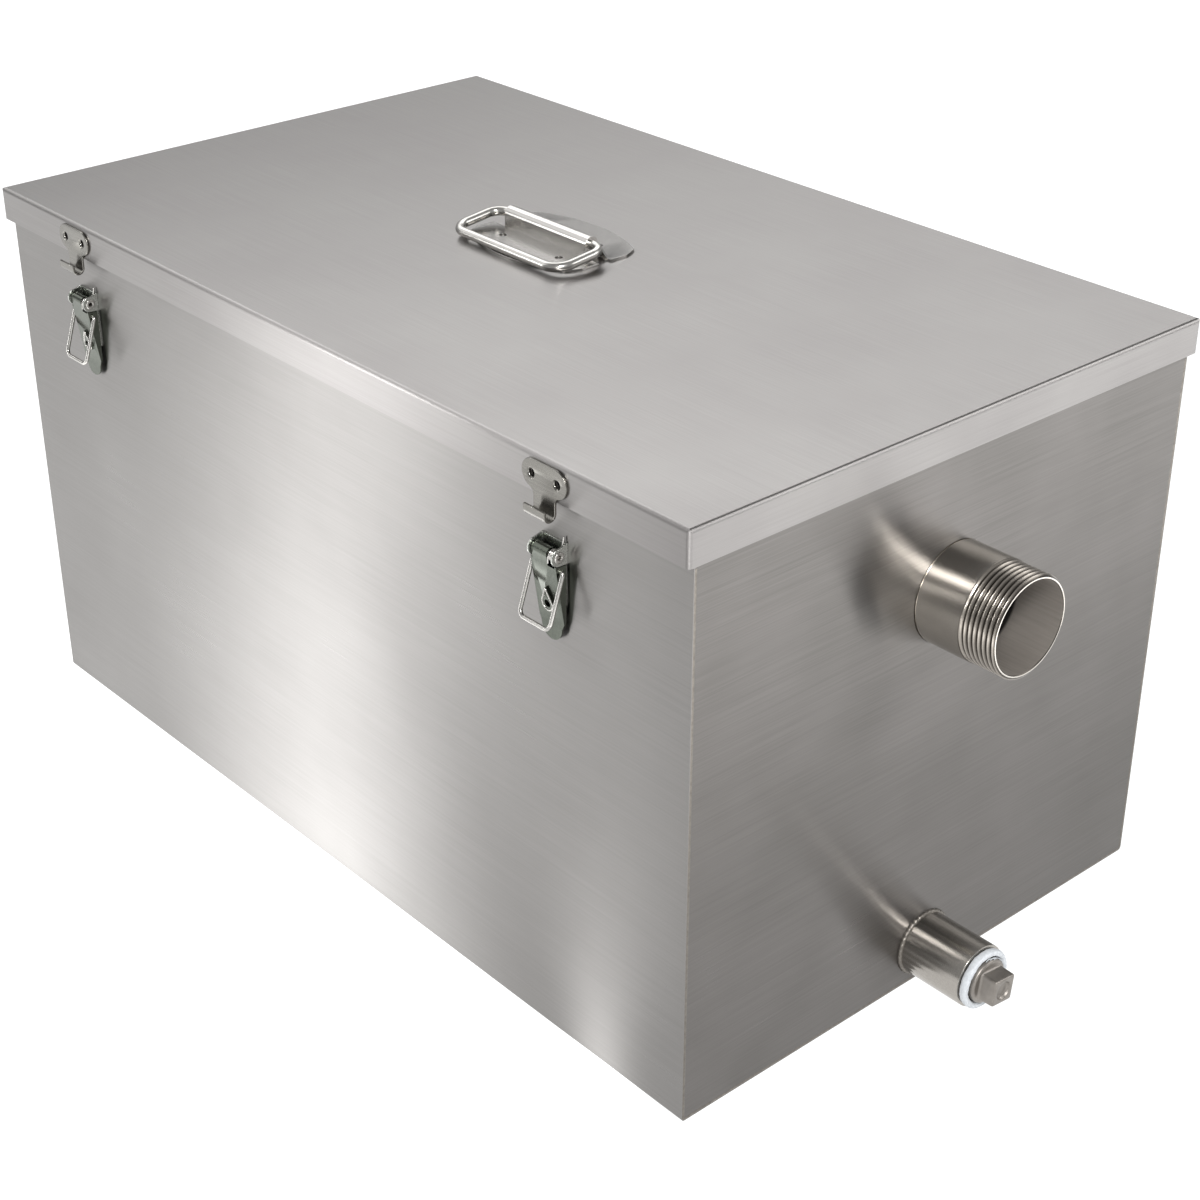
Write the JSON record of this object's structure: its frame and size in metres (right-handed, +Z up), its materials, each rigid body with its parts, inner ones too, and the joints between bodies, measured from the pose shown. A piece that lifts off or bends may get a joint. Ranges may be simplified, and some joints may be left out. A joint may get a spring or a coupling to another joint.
{
  "type": "grease trap",
  "caption": "Under-sink grease trap: oblong sheet-steel tank with a clamped lift-off lid, lid handle, pipe stubs at the ends, a drain plug, a strainer basket and baffles.",
  "frame": {"origin": "middle of the tank's base, on the floor", "axes": "+X from the inlet end to the outlet and drain end, +Y from the front to the back, +Z up"},
  "size_m": [0.7644, 0.4178, 0.3772],
  "materials": {
    "satin_stainless": "satin brushed stainless sheet",
    "bright_stainless": "polished stainless pressings and wire",
    "turned_stainless": "turned stainless pipe",
    "cast_stainless": "bead-blasted stainless casting",
    "seal_tape": "white thread-seal tape",
    "gasket_rubber": "flat black rubber"
  },
  "bodies": {
    "tank": {"tank_wrap": "satin_stainless", "inlet_end_plate": "satin_stainless", "outlet_end_plate": "satin_stainless", "inlet_pipe": "turned_stainless", "outlet_pipe": "turned_stainless", "outlet_elbow": "satin_stainless", "inlet_baffle": "satin_stainless", "outlet_baffle": "satin_stainless", "front_ledge": "satin_stainless", "back_ledge": "satin_stainless", "basket": "satin_stainless", "drain_socket": "turned_stainless", "latch_rivets": "bright_stainless", "latch_springs": "bright_stainless", "bracket_fl": "bright_stainless", "bracket_fr": "bright_stainless", "bracket_bl": "bright_stainless", "bracket_br": "bright_stainless"},
    "lid": {"lid_pan": "satin_stainless", "lid_gasket": "gasket_rubber", "handle_plate": "bright_stainless", "strike_fl": "bright_stainless", "strike_fr": "bright_stainless", "strike_bl": "bright_stainless", "strike_br": "bright_stainless"},
    "lid_handle": {"handle_bail": "bright_stainless"},
    "basket_handle": {"basket_handle": "bright_stainless"},
    "drain_tape": {"drain_tape": "seal_tape"},
    "drain_plug": {"drain_plug": "cast_stainless"},
    "lever_fl": {"lever_fl": "bright_stainless"},
    "bail_fl": {"bail_fl": "bright_stainless"},
    "lever_fr": {"lever_fr": "bright_stainless"},
    "bail_fr": {"bail_fr": "bright_stainless"},
    "lever_bl": {"lever_bl": "bright_stainless"},
    "bail_bl": {"bail_bl": "bright_stainless"},
    "lever_br": {"lever_br": "bright_stainless"},
    "bail_br": {"bail_br": "bright_stainless"}
  },
  "joints": [
    {"name": "lid_lift", "type": "slide", "parent": "tank", "child": "lid", "axis": [0, 0, 1], "range_m": [0, 0.22]},
    {"name": "lid_handle_swing", "type": "hinge", "parent": "lid", "child": "lid_handle", "pos_m": [-0.01, 0.003, 0.3722], "axis": [-1, 0, 0], "range_deg": [0, 90]},
    {"name": "basket_handle_swing", "type": "hinge", "parent": "tank", "child": "basket_handle", "pos_m": [-0.218, 0, 0.225], "axis": [-1, 0, 0], "range_deg": [0, 180]},
    {"name": "drain_plug_travel", "type": "slide", "parent": "tank", "child": "drain_tape", "axis": [1, 0, 0], "range_m": [0, 0.0196]},
    {"name": "drain_plug_turn", "type": "hinge", "parent": "drain_tape", "child": "drain_plug", "pos_m": [0.3684, 0, 0.0245], "axis": [1, 0, 0], "range_deg": [0, 3060]},
    {"name": "lever_fl_open", "type": "hinge", "parent": "tank", "child": "lever_fl", "pos_m": [-0.234, -0.1986, 0.3118], "axis": [-1, 0, 0], "range_deg": [0, 110], "stiffness_Nm_per_rad": 0.006, "springref_deg": -20.05},
    {"name": "bail_fl_swing", "type": "hinge", "parent": "lever_fl", "child": "bail_fl", "pos_m": [-0.234, -0.198, 0.3036], "axis": [1, 0, 0], "range_deg": [-136, 14]},
    {"name": "lever_fr_open", "type": "hinge", "parent": "tank", "child": "lever_fr", "pos_m": [0.224, -0.1986, 0.3118], "axis": [-1, 0, 0], "range_deg": [0, 110], "stiffness_Nm_per_rad": 0.006, "springref_deg": -20.05},
    {"name": "bail_fr_swing", "type": "hinge", "parent": "lever_fr", "child": "bail_fr", "pos_m": [0.224, -0.198, 0.3036], "axis": [1, 0, 0], "range_deg": [-136, 14]},
    {"name": "lever_bl_open", "type": "hinge", "parent": "tank", "child": "lever_bl", "pos_m": [-0.234, 0.1986, 0.3118], "axis": [1, 0, 0], "range_deg": [0, 110], "stiffness_Nm_per_rad": 0.006, "springref_deg": -20.05},
    {"name": "bail_bl_swing", "type": "hinge", "parent": "lever_bl", "child": "bail_bl", "pos_m": [-0.234, 0.198, 0.3036], "axis": [-1, 0, 0], "range_deg": [-136, 14]},
    {"name": "lever_br_open", "type": "hinge", "parent": "tank", "child": "lever_br", "pos_m": [0.224, 0.1986, 0.3118], "axis": [1, 0, 0], "range_deg": [0, 110], "stiffness_Nm_per_rad": 0.006, "springref_deg": -20.05},
    {"name": "bail_br_swing", "type": "hinge", "parent": "lever_br", "child": "bail_br", "pos_m": [0.224, 0.198, 0.3036], "axis": [-1, 0, 0], "range_deg": [-136, 14]}
  ],
  "couplings": [
    {"joint": "drain_plug_turn", "follows": "drain_plug_travel", "rad_per_m": 2721.2}
  ]
}
